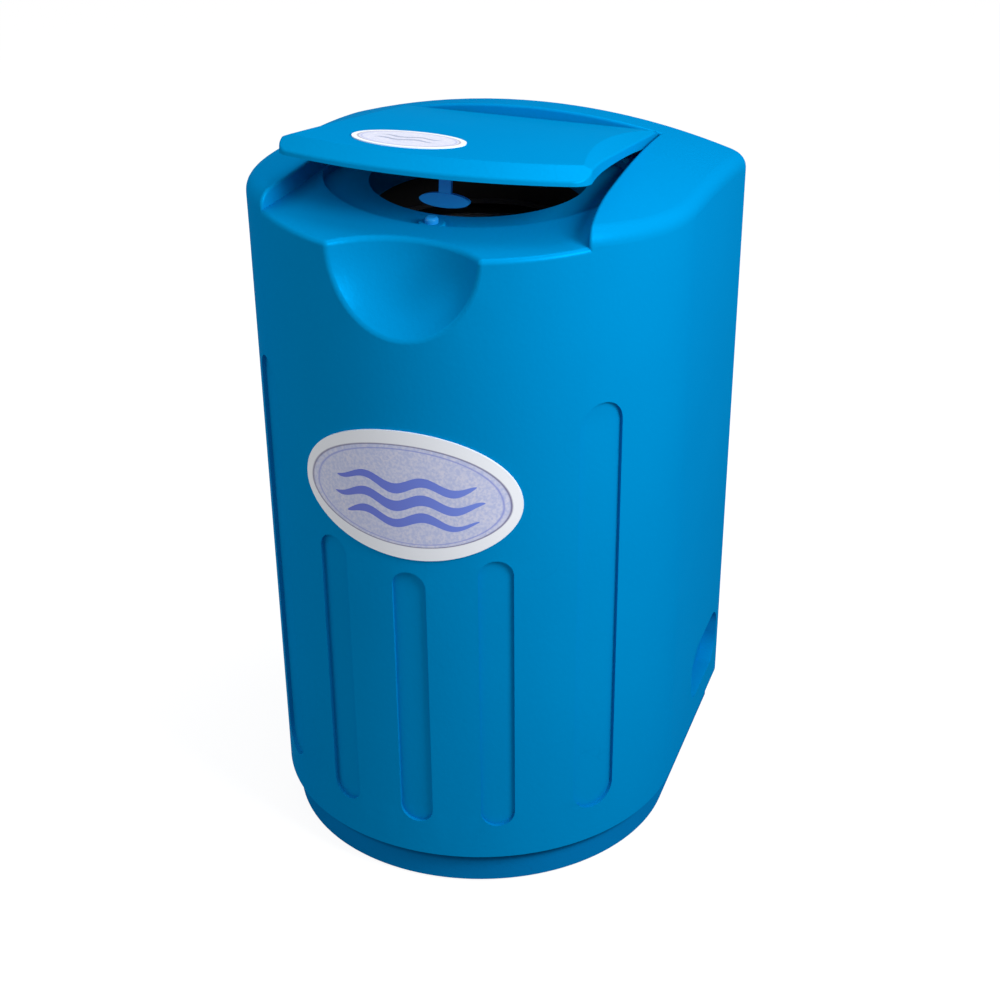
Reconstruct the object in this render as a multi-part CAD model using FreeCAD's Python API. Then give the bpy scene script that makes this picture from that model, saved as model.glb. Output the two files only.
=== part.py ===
"""Laundry spin dryer: moulded casing on a plinth, belt-driven basket in a tub, lid shown ajar.

Millimetres. +Z is up, the front faces -Y, the origin is on the floor under the middle of the
footprint. The lid is built shut and then turned to the ajar angle that it rests at.
"""
import FreeCAD, Part
import math
import os

os.makedirs("parts", exist_ok=True)
V = FreeCAD.Vector
X_AXIS, Y_AXIS, Z_AXIS = V(1, 0, 0), V(0, 1, 0), V(0, 0, 1)

# ---- casing: driving sizes -------------------------------------------------------------------
floor_radius = 215.0        # half the width, measured at the floor
draft = 0.014               # outward lean of the moulding per mm of height
back_depth = 239.0          # basket axis to the flat back
back_corner = 25.0          # plan radius of the two back corners
wall = 4.5                  # moulded wall
plinth_top = 40.0           # bottom edge of the casing
crown_height = 750.0        # highest point of the domed top
crown_y = -130.0            # where that point lies, from the basket axis
crown_long_radius = 1667.0  # the dome along Y
crown_cross_radius = 714.0  # the dome across X
shoulder_fillet = 17.0      # rounding between the dome and the walls
rim_fillet = 5.0            # rounding of the low front rim and of the finger scoop

# ---- lid and the pocket that it shuts into ----------------------------------------------------
lid_top = 733.5             # highest line of the shut lid
lid_top_y = -110.0
lid_long_radius = 1852.0
lid_thickness = 16.0
lid_front_y = -172.0
lid_front_radius = 400.0    # the bow of its front edge
lid_corner = 20.0
lid_crest_fillet = 2.5      # rounding of the edges of its bevels
lid_wall = 3.2
bevel_in, bevel_down = 17.0, 11.0           # the bevel along its front
facet_front_y, facet_front_drop = -147.0, 2.5   # the flat facet along each side starts this far below
facet_back_y, facet_back_drop = 165.0, 1.8      # the top, at these two places of the side wall
facet_run = 2.6             # and leans in by this much per mm of height
lid_side_gap = 2.6
lid_floor_gap = 2.2         # under the shut lid
pocket_half_flare = 149.3   # half width of the pocket at flare_y
flare_y = -60.0             # in front of this its sides flare out on an arc
flare_radius = 635.0
pocket_taper = 0.0375       # behind it the half width shrinks by this much per mm
pocket_crest_fillet = 2.5   # rounding where the pocket's sides meet the domed top
hinge_y = 168.0
hinge_roll = 12.0           # radius of the rolled back edge of the lid
hinge_pin = 4.0
hinge_bore_play = 0.05
hinge_x = 75.0              # middle of each hinge
hinge_knuckle = 24.0
hinge_gap = 0.6
trough_gap = 2.4            # behind and below the rolled edge
ajar_angle = 9.0

# ---- deck opening, scoop, flutes, recesses ----------------------------------------------------
axis_shift = 8.0            # the basket stands this far behind the front arc's centre
well_radius = 152.0
well_depth = 8.0
well_shelf = 3.0            # least width of deck between the well and the cheeks
well_lip = 2.0              # bevel of the well's front edge
mouth_radius = 108.0
collar_bottom = 672.0
scoop_radius = 101.0
scoop_out = 281.0           # centre of the scoop ball, forward of the front arc's centre
scoop_z = 714.0
flute_bottom = 80.0
flute_depth = 4.0
flute_narrow, flute_wide = 35.0, 49.0
flute_tops = {0.0: 382.0, 22.6: 400.0, 50.6: 554.0}
grip_front, grip_back = 88.0, 206.0     # the moulded grips low on both sides
grip_low, grip_high = 70.0, 136.0
grip_corner, grip_depth = 26.0, 16.0
bay_half, bay_low, bay_high, bay_depth = 125.0, 64.0, 264.0, 26.0
bay_ledge = 14.0

# ---- base -------------------------------------------------------------------------------------
plinth_inset = 10.0
base_wall = 5.0
foot_height = 3.0
foot_radius = 20.0
boss_inset = 25.0
boss_radius = 8.0
screw_radius = 2.5
head_seat = 10.0

# ---- suspended unit ---------------------------------------------------------------------------
post_top = 52.0
post_radius = 17.0
mount_circle = 125.0
mount_height = 30.0
mount_radius = 20.0
plate_radius = 150.0
plate_thickness = 5.0
housing_radius = 34.0
housing_length = 143.0
flange_reach, flange_height = 26.0, 6.0
bearing_outer, bearing_width = 26.0, 15.0
shaft_radius = 12.5
bearing_fit = 0.03
tub_radius = 180.0
tub_wall = 4.0
tub_top = 636.0
tub_mouth = 120.0
tub_cover_thickness = 5.0
tub_screw = 3.0
seal_radius = 22.0
basket_radius = 160.0
basket_wall = 1.5
basket_bottom, basket_top = 262.0, 616.0
basket_mouth = 132.0
hole_rows, holes_per_row, basket_hole = 6, 20, 4.0
hub_radius, hub_height = 46.0, 38.0
nut_height = 10.0

# ---- drive and brake --------------------------------------------------------------------------
motor_distance = 135.0
motor_radius = 55.0
motor_cap, motor_stack = 15.0, 90.0
motor_shaft_radius = 9.0
drum_pulley_radius, motor_pulley_radius = 60.0, 26.0
pulley_bottom, pulley_height, pulley_flange = 54.0, 22.0, 6.0
flange_thickness = 2.0
belt_thickness, belt_side_gap, belt_gap = 4.0, 1.0, 0.3
brake_radius, brake_bottom, brake_height = 70.0, 36.0, 14.0
brake_arm = 80.0            # pivot to the middle of the pad
brake_reach = 68.0          # and from there to the free end
brake_bar, brake_bar_height = 10.0, 10.0
brake_pad_thickness, brake_pad_width, brake_gap = 9.0, 40.0, 0.3
brake_pin_radius, brake_bore_play = 5.0, 0.05
brake_swing = 3.0           # degrees, from braked to released
magnet_gap = 1.0

# ---- interlock and badges -----------------------------------------------------------------------
tongue_width, tongue_height, tongue_thickness = 50.0, 14.0, 7.0     # the oval pad of the latch tongue
tongue_drop = 46.0          # from the lid's underside to the pad's lowest point
tongue_y = -90.0            # it hangs just inside the mouth
tongue_stem, tongue_round = 12.0, 1.5
plunger_x, plunger_y = 0.0, -129.0
plunger_radius, plunger_play, plunger_travel = 6.5, 0.05, 4.0
plunger_gap = 0.3           # under the shut lid, when nothing presses it
plunger_round = 3.0
guide_radius, guide_height, guide_round = 13.0, 4.0, 2.0
switch_half, switch_depth, switch_height, switch_recess = 15.0, 22.0, 24.0, 12.0
badge_x, badge_z = 3.5, 461.0               # where the egg-shaped badge's quarters meet
badge_left, badge_right = 115.6, 106.2
badge_up, badge_down = 76.7, 62.7
badge_thickness, badge_gap = 1.6, 0.05
lid_badge_width, lid_badge_depth, lid_badge_x, lid_badge_y = 112.0, 76.0, -36.0, -96.0
lid_badge_thickness = 1.0

# ---- lid details, back cover, drain, electrics ----------------------------------------------------
liner_thickness = 2.5
liner_screw = 1.8
buffer_radius, buffer_clear = 8.0, 0.3
buffer_x, buffer_y = 120.0, -135.0
knuckle_radius = 8.5
knuckle_stem, knuckle_foot, knuckle_foot_thickness = 12.0, 27.0, 3.0
pin_grip = 18.0             # how far each hinge pin runs into the lid on both sides
cover_thickness, cover_gap = 2.5, 2.0
cover_screw = 2.0
inlet_radius, inlet_x, inlet_z = 11.0, 70.0, 228.0
drain_x, drain_y, drain_radius = -90.0, 105.0, 14.0
spout_z, hose_bend = 106.0, 45.0
capacitor_x, capacitor_y, capacitor_radius = 98.0, 92.0, 20.0

# ---- sizes worked out from the ones above -------------------------------------------------------
front_reach = floor_radius + draft * (badge_z + badge_up) + badge_gap + badge_thickness
arc_y = (front_reach - back_depth) / 2          # the front arc's centre, so that the footprint is centred
axis_y = arc_y + axis_shift                   # the basket's axis
sheet_top = crown_height + 60.0
plate_bottom = post_top + mount_height
plate_top = plate_bottom + plate_thickness
housing_top = plate_top + housing_length
motor_y = axis_y + motor_distance
deck_drop = lid_thickness + lid_floor_gap
lid_arc_z = lid_top - lid_long_radius


def lid_surface(y, drop=0.0):
    """Height of the shut lid's top over a point y from the front arc's centre."""
    return lid_arc_z + math.sqrt((lid_long_radius - drop) ** 2 - (y - lid_top_y) ** 2)


hinge_z = lid_surface(hinge_y, hinge_roll)
roll_tangent = hinge_y + hinge_roll * (hinge_y - lid_top_y) / (lid_long_radius - hinge_roll)
well_floor = lid_surface(lid_top_y, deck_drop + well_depth)
pocket_back = hinge_y + hinge_roll + trough_gap
flare_turn = math.atan(pocket_taper)        # the way that the pocket's straight sides lean in plan
flare_centre_x = pocket_half_flare + flare_radius * math.cos(flare_turn)
flare_centre_y = flare_y + flare_radius * math.sin(flare_turn)


# ---- shape helpers -------------------------------------------------------------------------------
def at(x, y, z):
    """A point given from the front arc's centre line."""
    return V(x, arc_y + y, z)


def rod(radius, low, high, x=0.0, y=0.0):
    """Upright round bar; x and y are from the basket's axis."""
    return Part.makeCylinder(radius, high - low, V(x, axis_y + y, low))


def tube(outer, inner, low, high, x=0.0, y=0.0):
    return rod(outer, low, high, x, y).cut(rod(inner, low - 1, high + 1, x, y))


def block(x0, x1, y0, y1, z0, z1):
    """Box between two corners, its y from the front arc's centre line."""
    return Part.makeBox(x1 - x0, y1 - y0, z1 - z0, at(x0, y0, z0))


def x_rod(radius, x0, x1, y, z):
    return Part.makeCylinder(radius, x1 - x0, at(x0, y, z), X_AXIS)


def y_rod(radius, y0, y1, x, z):
    return Part.makeCylinder(radius, y1 - y0, at(x, y0, z), Y_AXIS)


def fuse(shapes):
    shapes = list(shapes)
    return shapes[0].multiFuse(shapes[1:]).removeSplitter() if len(shapes) > 1 else shapes[0]


def both_sides(shape):
    return [shape, shape.mirror(V(0, 0, 0), X_AXIS)]


def d_wire(z, inset):
    """The D-shaped plan at height z: front arc, two straight sides, flat back."""
    r = floor_radius + draft * z - inset
    b = back_depth - inset
    c = max(back_corner - inset, 3.0)
    h = c * (1 - math.sqrt(0.5))
    edges = [
        Part.Arc(at(-r, 0, z), at(0, -r, z), at(r, 0, z)).toShape(),
        Part.makeLine(at(r, 0, z), at(r, b - c, z)),
        Part.Arc(at(r, b - c, z), at(r - h, b - h, z), at(r - c, b, z)).toShape(),
        Part.makeLine(at(r - c, b, z), at(c - r, b, z)),
        Part.Arc(at(c - r, b, z), at(h - r, b - h, z), at(-r, b - c, z)).toShape(),
        Part.makeLine(at(-r, b - c, z), at(-r, 0, z)),
    ]
    return Part.Wire(edges)


def d_solid(low, high, inset=0.0):
    return Part.makeLoft([d_wire(low, inset), d_wire(high, inset)], True, True)


def front_cone(inset):
    """Everything inside the front wall, as a full cone about the front arc's centre."""
    r0 = floor_radius - inset
    return Part.makeCone(r0, r0 + draft * sheet_top, sheet_top, at(0, 0, 0))


def under_dome(drop=0.0):
    """All that lies below the domed top, lowered by drop."""
    top = crown_height - drop
    half = floor_radius * 1.5
    cross = crown_cross_radius - drop
    sag = cross - math.sqrt(cross ** 2 - half ** 2)
    low = -200.0
    axis_z = crown_height - crown_long_radius
    left, right = at(-half, crown_y, top - sag), at(half, crown_y, top - sag)
    arc = Part.Arc(left, at(0, crown_y, top), right).toShape()
    sides = Part.makePolygon([right, at(half, crown_y, low), at(-half, crown_y, low), left])
    face = Part.Face(Part.Wire([arc] + sides.Edges))
    face.rotate(at(0, crown_y, axis_z), X_AXIS, 30)
    return face.revolve(at(0, crown_y, axis_z), X_AXIS, -60)


def along_lid(y0, y1, drop, top):
    """Slab over the full width between a curve drop below the shut lid's top and height top."""
    mid = (y0 + y1) / 2
    half = floor_radius * 1.5
    points = [at(-half, y, lid_surface(y, drop)) for y in (y0, mid, y1)]
    curve = Part.Arc(*points).toShape()
    lid_line = [points[2], at(-half, y1, top), at(-half, y0, top), points[0]]
    face = Part.Face(Part.Wire([curve] + Part.makePolygon(lid_line).Edges))
    return face.extrude(V(2 * half, 0, 0))


def flare_start(grow):
    """Where the straight side of the pocket, moved out by grow, runs into its flare."""
    return flare_centre_y - (flare_radius - grow) * math.sin(flare_turn)


def pocket_half(y, grow=0.0):
    """Half width of the pocket, with its sides moved out by grow."""
    if y < flare_start(grow):
        return flare_centre_x - math.sqrt((flare_radius - grow) ** 2 - (y - flare_centre_y) ** 2)
    return pocket_half_flare + grow / math.cos(flare_turn) - pocket_taper * (y - flare_y)


def pocket_side(side, grow, z, y0, y1):
    """The edges of one side of the pocket from y0 back to y1, at height z."""
    def point(y):
        return at(side * pocket_half(y, grow), y, z)
    turn = flare_start(grow)
    if y0 >= turn:
        return [Part.makeLine(point(y0), point(y1))]
    arc = Part.Arc(point(y0), point((y0 + turn) / 2), point(turn)).toShape()
    return [arc, Part.makeLine(point(turn), point(y1))]


def pocket_prism(grow, low, high, y0=-400.0, y1=None):
    """The plan of the pocket between the two cheeks, as a prism."""
    y1 = (pocket_back if y1 is None else y1) + grow
    right, left = pocket_side(1, grow, low, y0, y1), pocket_side(-1, grow, low, y0, y1)
    near, far = pocket_half(y0, grow), pocket_half(y1, grow)
    ends = [Part.makeLine(at(-near, y0, low), at(near, y0, low)),
            Part.makeLine(at(-far, y1, low), at(far, y1, low))]
    outline = Part.Wire(Part.__sortEdges__(right + left + ends))
    return Part.Face(outline).extrude(V(0, 0, high - low))


def above_deck(drop):
    """All above the deck: level in front of the lid's highest line, then following the lid."""
    curved = along_lid(lid_top_y, pocket_back + 2 * wall, deck_drop + drop, sheet_top)
    level = lid_surface(lid_top_y, deck_drop + drop)
    half = floor_radius * 1.5
    return curved.fuse(block(-half, half, -400, lid_top_y, level, sheet_top))


def stadium(width, low, high):
    """Upright slot outline with round ends, in the XZ plane at y = 0, centred on x = 0."""
    r = width / 2
    edges = [
        Part.makeLine(V(r, 0, low + r), V(r, 0, high - r)),
        Part.Arc(V(r, 0, high - r), V(0, 0, high), V(-r, 0, high - r)).toShape(),
        Part.makeLine(V(-r, 0, high - r), V(-r, 0, low + r)),
        Part.Arc(V(-r, 0, low + r), V(0, 0, low), V(r, 0, low + r)).toShape(),
    ]
    return Part.Face(Part.Wire(edges))


def flutes(grow):
    """Tools for the upright flutes round the front; grow makes the matching inner tools."""
    reach = floor_radius + 60
    tools = []
    for angle, top in flute_tops.items():
        width = (flute_wide if angle > 40 else flute_narrow) + 2 * grow
        slot = stadium(width, flute_bottom - grow, top + grow).extrude(V(0, -reach, 0))
        slot.translate(at(0, 0, 0))
        for side in ((1, -1) if angle else (1,)):
            turned = slot.copy()
            turned.rotate(at(0, 0, 0), Z_AXIS, side * angle)
            tools.append(turned)
    return Part.makeCompound(tools).cut(front_cone(flute_depth + grow))


def side_grips(grow):
    """Rounded recesses low on both sides, near the back, to lift by."""
    face = floor_radius + draft * grip_low
    niche = block(face - grip_depth - grow, face + 40, grip_front - grow, grip_back + grow,
                  grip_low - grow, grip_high + grow)
    niche = fillet_where(niche, grip_corner + grow, lambda e: e.BoundBox.XLength > grip_depth)
    return Part.makeCompound(both_sides(niche))


def service_bay(grow):
    """Recess in the back that takes the cover plate, the inlet and the drain."""
    return block(-bay_half - grow, bay_half + grow, back_depth - bay_depth - grow,
                 back_depth + 50, bay_low - grow, bay_high + grow)


def hinge_trough(grow):
    """Channel across the back of the pocket in which the lid's rolled edge turns."""
    low = hinge_z - hinge_roll - trough_gap - grow
    prism = pocket_prism(grow, low, sheet_top, hinge_y - hinge_roll - trough_gap - grow)
    return prism


def fillet_where(shape, radius, test):
    """Fillet the edges that pass the test, by their middle point and bounding box."""
    edges = [e for e in shape.Edges if test(e)]
    return shape.makeFillet(radius, edges) if edges else shape


def middle(edge):
    return edge.valueAt((edge.FirstParameter + edge.LastParameter) / 2)


def ajar(shape):
    """Turn a piece of the shut lid to the angle that it rests at."""
    turned = shape.copy()
    turned.rotate(at(0, hinge_y, hinge_z), X_AXIS, -ajar_angle)
    return turned


def save(name, shape):
    solids = shape.Solids
    if not solids or not shape.isValid():
        print("CHECK", name, "solids", len(solids), "valid", shape.isValid())
    out = solids[0] if len(solids) == 1 else Part.makeCompound(solids)
    out.exportStep("parts/" + name + ".step")
    box = out.BoundBox
    print("%-20s %2d solid(s) %9.1f cm3  z %.1f to %.1f" % (
        name, len(solids), out.Volume / 1000, box.ZMin, box.ZMax))
    return out


def screws(places, radius, shank, head, axis):
    """A group of like screws: each place is the underside of the head, the shank runs along axis."""
    pieces = []
    for place in places:
        body = Part.makeCylinder(radius, shank, place, axis)
        cap = Part.makeCylinder(radius * 2, head, place - axis * head, axis)
        pieces.append(body.fuse(cap).removeSplitter())
    return Part.makeCompound(pieces)


# ---- casing ---------------------------------------------------------------------------------------
def is_pocket_crest(edge):
    """Whether an edge runs where the pocket's sides or back meet the domed top."""
    place, box = middle(edge), edge.BoundBox
    y = place.y - arc_y
    side = abs(abs(place.x) - pocket_half(y)) < 0.3 and box.YLength > 2
    back = abs(y - pocket_back) < 0.2 and box.XLength > pocket_half(y)
    return place.z > lid_surface(max(y, lid_top_y), deck_drop) + 3 and (side or back)


def is_front_rim(edge):
    """Whether an edge bounds the deck in front, or the finger scoop."""
    place = middle(edge)
    deck = lid_surface(lid_top_y, deck_drop)
    off_wall = math.hypot(place.x, place.y - arc_y) - floor_radius - draft * deck
    scoop = at(0, -scoop_out, scoop_z)
    points = [edge.firstVertex().Point, place, edge.lastVertex().Point]
    on_scoop = all(abs(point.distanceToPoint(scoop) - scoop_radius) < 0.3 for point in points)
    return on_scoop or (abs(place.z - deck) < 0.5 and abs(off_wall) < 0.5 and place.y < arc_y)


def make_casing():
    outer = d_solid(plinth_top, sheet_top).common(under_dome())
    outer = fillet_where(outer, shoulder_fillet, lambda e: middle(e).z > crown_height - 90
                         and e.BoundBox.ZMax - e.BoundBox.ZMin < 60)
    outer = outer.cut(above_deck(0).common(pocket_prism(0, 0, sheet_top)))
    shelf = pocket_prism(-well_shelf, 0, sheet_top)
    well = rod(well_radius, 600, sheet_top).common(above_deck(well_depth))
    lip = Part.makeCone(well_radius, well_radius + 2 * well_lip, 2 * well_lip,
                        V(0, axis_y, lid_surface(lid_top_y, deck_drop) - well_lip))
    ball = Part.makeSphere(scoop_radius, at(0, -scoop_out, scoop_z))
    outer = outer.cut(Part.makeCompound([well.common(shelf), ball])).cut(lip.common(shelf))
    outer = outer.cut(hinge_trough(0))
    outer = fillet_where(outer, pocket_crest_fillet, is_pocket_crest)
    outer = fillet_where(outer, rim_fillet, is_front_rim)
    outer = outer.cut(flutes(0)).cut(side_grips(0)).cut(service_bay(0))

    void = d_solid(plinth_top + wall, sheet_top, wall).common(under_dome(wall))
    void = fillet_where(void, shoulder_fillet - wall, lambda e: middle(e).z > crown_height - 95
                        and e.BoundBox.ZMax - e.BoundBox.ZMin < 60)
    void = void.cut(above_deck(wall).common(pocket_prism(wall, 0, sheet_top)))
    under_well = rod(well_radius + wall, 600, sheet_top).common(above_deck(well_depth + wall))
    void = void.cut(under_well.common(pocket_prism(wall - well_shelf, 0, sheet_top)))
    void = void.cut(Part.makeSphere(scoop_radius + wall, at(0, -scoop_out, scoop_z)))
    void = void.cut(hinge_trough(wall)).cut(flutes(wall)).cut(side_grips(wall))
    void = void.cut(service_bay(wall))
    void = void.cut(rod(mouth_radius + wall, collar_bottom, sheet_top))

    flange = boss_inset + boss_radius + 2
    shell = outer.cut(void)
    shell = shell.cut(d_solid(plinth_top - 1, plinth_top + wall + 1, flange))
    shell = shell.cut(rod(mouth_radius, collar_bottom - 1, sheet_top))
    shell = shell.cut(Part.makeCylinder(plunger_radius + plunger_play, 40, at(plunger_x, plunger_y, 690)))
    window = block(bay_ledge - bay_half, bay_half - bay_ledge, back_depth - bay_depth - wall - 1,
                   back_depth, bay_low + bay_ledge, bay_high - bay_ledge)
    shell = shell.cut(window)
    for x, y in boss_places():
        shell = shell.cut(Part.makeCylinder(screw_radius, wall + 2, at(x, y, plinth_top - 1)))
    for x, z in cover_screw_places():
        shell = shell.cut(y_rod(cover_screw, back_depth - bay_depth - wall - 1, back_depth, x, z))
    for x, y in hinge_screw_places():
        shell = shell.cut(Part.makeCylinder(cover_screw, 60, at(x, y, hinge_z - 60)))
    return shell


def cover_screw_places():
    x = bay_half - bay_ledge / 2
    return [(s * x, z) for s in (1, -1) for z in (
        bay_low + bay_ledge / 2, (bay_low + bay_high) / 2, bay_high - bay_ledge / 2)]


def hinge_screw_places():
    reach = (knuckle_stem + knuckle_foot) / 4 + 0.5
    return [(s * hinge_x, hinge_y + t * reach) for s in (1, -1) for t in (1, -1)]


def boss_places():
    """Where the base screws go: two at the front, two at the sides, two at the back."""
    r = floor_radius - boss_inset
    front = math.radians(40)
    return [(s * x, y) for s in (1, -1) for x, y in (
        (r * math.sin(front), -r * math.cos(front)), (r, 40.0), (120.0, back_depth - boss_inset))]


# ---- base -----------------------------------------------------------------------------------------
def mount_places():
    """Three rubber mounts: one in front, two behind at the sides, from the basket's axis."""
    return [(mount_circle * math.cos(math.radians(a)), mount_circle * math.sin(math.radians(a)))
            for a in (-90, 30, 150)]


def foot_places():
    return [(s * x, y) for s in (1, -1) for x, y in ((118.0, -118.0), (160.0, 180.0))]


def make_base():
    shell = d_solid(foot_height, plinth_top, plinth_inset)
    hollow = d_solid(foot_height + base_wall, plinth_top + 1, plinth_inset + base_wall)
    base = shell.cut(hollow)
    low = foot_height + base_wall
    bosses = [Part.makeCylinder(boss_radius, plinth_top - low, at(x, y, low)) for x, y in boss_places()]
    posts = [rod(post_radius, low, post_top, x, y) for x, y in mount_places()]
    base = fuse([base] + bosses + posts)
    for x, y in boss_places():
        base = base.cut(Part.makeCylinder(screw_radius, 100, at(x, y, 0)))
        base = base.cut(Part.makeCylinder(screw_radius * 2 + 0.5, 10, at(x, y, 0)))
    for x, y in mount_places():
        base = base.cut(rod(4.0, low + 10, post_top + 1, x, y))
    return base


save("casing_shell", make_casing())
base = save("base_plinth", make_base())
feet = [Part.makeCylinder(foot_radius, foot_height, at(x, y, 0)) for x, y in foot_places()]
save("rubber_feet", Part.makeCompound(feet))
save("base_screws", screws([at(x, y, head_seat) for x, y in boss_places()], screw_radius,
                           plinth_top + wall - head_seat, 3.0, Z_AXIS))


# ---- suspended frame ------------------------------------------------------------------------------
def make_frame_plate():
    plate = rod(plate_radius, plate_bottom, plate_top)
    tail = Part.makeBox(2 * (motor_radius + 12), motor_distance + motor_radius, plate_thickness,
                        V(-motor_radius - 12, axis_y, plate_bottom))
    plate = fuse([plate, tail])
    plate = plate.cut(rod(bearing_outer - 4, 0, 500))
    plate = plate.cut(rod(motor_shaft_radius + 6, 0, 500, 0, motor_distance))
    for x, y in mount_places():
        plate = plate.cut(rod(4.0, 0, 500, x, y))
    windows = [rod(22, 0, 500, 90 * math.cos(math.radians(a)), 90 * math.sin(math.radians(a)))
               for a in (-35, -145)]
    return plate.cut(Part.makeCompound(windows))


def make_mounts():
    pieces = []
    for x, y in mount_places():
        lower = rod(mount_radius, post_top, post_top + mount_height * 0.3, x, y)
        waist = rod(mount_radius - 5, post_top, plate_bottom, x, y)
        upper = rod(mount_radius, plate_bottom - mount_height * 0.3, plate_bottom, x, y)
        pieces.append(fuse([lower, waist, upper]).cut(rod(4.0, 0, 500, x, y)))
    return Part.makeCompound(pieces)


def make_mount_bolts():
    pieces = []
    for x, y in mount_places():
        shank = rod(4.0, post_top - 20, plate_top + 12, x, y)
        nut = Part.Face(Part.makePolygon([V(x + 7.5 * math.cos(math.radians(a)),
                                            axis_y + y + 7.5 * math.sin(math.radians(a)),
                                            plate_top) for a in range(0, 361, 60)]))
        pieces.append(fuse([shank, nut.extrude(V(0, 0, 7))]))
    return Part.makeCompound(pieces)


save("suspension_plate", make_frame_plate())
save("rubber_mounts", make_mounts())
save("mount_bolts", make_mount_bolts())

flange_radius = housing_radius + flange_reach
bearing_low = plate_top + 5.0
bearing_high = housing_top - 5.0 - bearing_width
tub_screw_circle = flange_radius - 8


def tub_screw_places():
    return [(tub_screw_circle * math.cos(math.radians(a)), tub_screw_circle * math.sin(math.radians(a)))
            for a in range(30, 390, 60)]


def make_housing():
    body = fuse([rod(housing_radius, plate_top, housing_top),
                 rod(flange_radius, plate_top, plate_top + flange_height),
                 rod(flange_radius, housing_top - flange_height, housing_top)])
    for a in range(0, 360, 60):
        rib = Part.makeBox(flange_radius - 2, 5, housing_length - 2 * flange_height,
                           V(0, axis_y - 2.5, plate_top + flange_height))
        rib.rotate(V(0, axis_y, 0), Z_AXIS, a)
        body = body.fuse(rib)
    body = body.cut(rod(bearing_outer - 4, 0, 500))
    for x, y in tub_screw_places():
        body = body.cut(rod(tub_screw, housing_top - flange_height, housing_top + 1, x, y))
    seats = [rod(bearing_outer, bearing_low, bearing_low + bearing_width),
             rod(bearing_outer, plate_top - 1, bearing_low),
             rod(bearing_outer, bearing_high, housing_top + 1)]
    return body.cut(fuse(seats)).removeSplitter()


save("bearing_housing", make_housing())
for name, low in (("lower_bearing", bearing_low), ("upper_bearing", bearing_high)):
    save(name, tube(bearing_outer, shaft_radius + bearing_fit, low, low + bearing_width))

# ---- tub ------------------------------------------------------------------------------------------
tub_bottom = housing_top


def make_tub():
    body = rod(tub_radius, tub_bottom, tub_top - tub_cover_thickness)
    body = body.cut(rod(tub_radius - tub_wall, tub_bottom + tub_wall, tub_top))
    body = body.fuse(rod(drain_radius, tub_bottom - 18, tub_bottom, drain_x, drain_y))
    body = body.cut(rod(drain_radius - 3, 0, tub_bottom + tub_wall + 1, drain_x, drain_y))
    for x, y in tub_screw_places():
        body = body.cut(rod(tub_screw, 0, tub_bottom + tub_wall + 1, x, y))
    return body.cut(rod(seal_radius, 0, tub_bottom + tub_wall + 1)).removeSplitter()


def make_seal():
    body = rod(seal_radius, tub_bottom, tub_bottom + tub_wall + 6)
    lip = tube(shaft_radius + 3, shaft_radius, tub_bottom + tub_wall + 6, tub_bottom + tub_wall + 10)
    return fuse([body, lip]).cut(rod(shaft_radius + 0.1, 0, 900))


save("outer_tub", make_tub())
save("tub_cover", tube(tub_radius, tub_mouth, tub_top - tub_cover_thickness, tub_top))
save("shaft_seal", make_seal())
gasket = Part.makeCone(tub_mouth + 6, mouth_radius + wall + 4, collar_bottom + 8 - tub_top,
                       V(0, axis_y, tub_top))
gasket = gasket.fuse(rod(mouth_radius + wall + 4, collar_bottom, collar_bottom + 12))
bore = Part.makeCone(tub_mouth + 2, mouth_radius + wall, collar_bottom + 2 - tub_top,
                     V(0, axis_y, tub_top))
gasket = gasket.cut(bore).cut(rod(mouth_radius + wall, collar_bottom - 2, collar_bottom + 20))
save("tub_gasket", gasket.removeSplitter())
save("tub_screws", screws([V(x, axis_y + y, tub_bottom + tub_wall) for x, y in tub_screw_places()],
                          tub_screw, tub_wall + flange_height, 3.0, V(0, 0, -1)))

# ---- basket and shaft -------------------------------------------------------------------------------
hub_seat = basket_bottom + 3.0


def make_basket():
    body = rod(basket_radius, basket_bottom, basket_top)
    body = body.cut(rod(basket_radius - basket_wall, basket_bottom + 3, basket_top - basket_wall))
    body = body.cut(rod(basket_mouth, basket_top - 10, basket_top + 1))
    body = body.cut(rod(shaft_radius + 0.5, basket_bottom - 1, basket_bottom + 10))
    span = basket_top - basket_bottom - 90
    holes = []
    for row in range(hole_rows):
        z = basket_bottom + 35 + span * row / (hole_rows - 1)
        for n in range(holes_per_row // 2):
            turn = 180.0 / (holes_per_row // 2) * (n + 0.5 * (row % 2))
            pin = Part.makeCylinder(basket_hole, 2 * basket_radius + 20,
                                    V(0, axis_y - basket_radius - 10, z), Y_AXIS)
            pin.rotate(V(0, axis_y, z), Z_AXIS, turn)
            holes.append(pin)
    return body.cut(Part.makeCompound(holes))


def make_hub():
    cone = Part.makeCone(hub_radius, shaft_radius + 6, hub_height, V(0, axis_y, hub_seat))
    return cone.cut(rod(shaft_radius, 0, 900))


shaft_top = hub_seat + hub_height + nut_height + 4
save("spin_basket", make_basket())
save("basket_hub", make_hub())
ring_outer = basket_radius - basket_wall
save("balance_ring", tube(ring_outer, basket_mouth, basket_top - basket_wall - 18,
                          basket_top - basket_wall))
shaft = rod(shaft_radius, brake_bottom - 2, shaft_top)
collar = tube(shaft_radius + 6, shaft_radius, tub_bottom + tub_wall + 11, basket_bottom)
save("drive_shaft", fuse([shaft, collar]))
nut_plan = [V((shaft_radius + 7) * math.cos(math.radians(a)),
              axis_y + (shaft_radius + 7) * math.sin(math.radians(a)), hub_seat + hub_height)
            for a in range(0, 361, 60)]
nut = Part.Face(Part.makePolygon(nut_plan)).extrude(V(0, 0, nut_height))
save("basket_nut", nut.cut(rod(shaft_radius, 0, 900)))

# ---- motor, pulleys, belt -----------------------------------------------------------------------------
motor_low = plate_top + motor_cap
motor_high = motor_low + motor_stack


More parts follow.
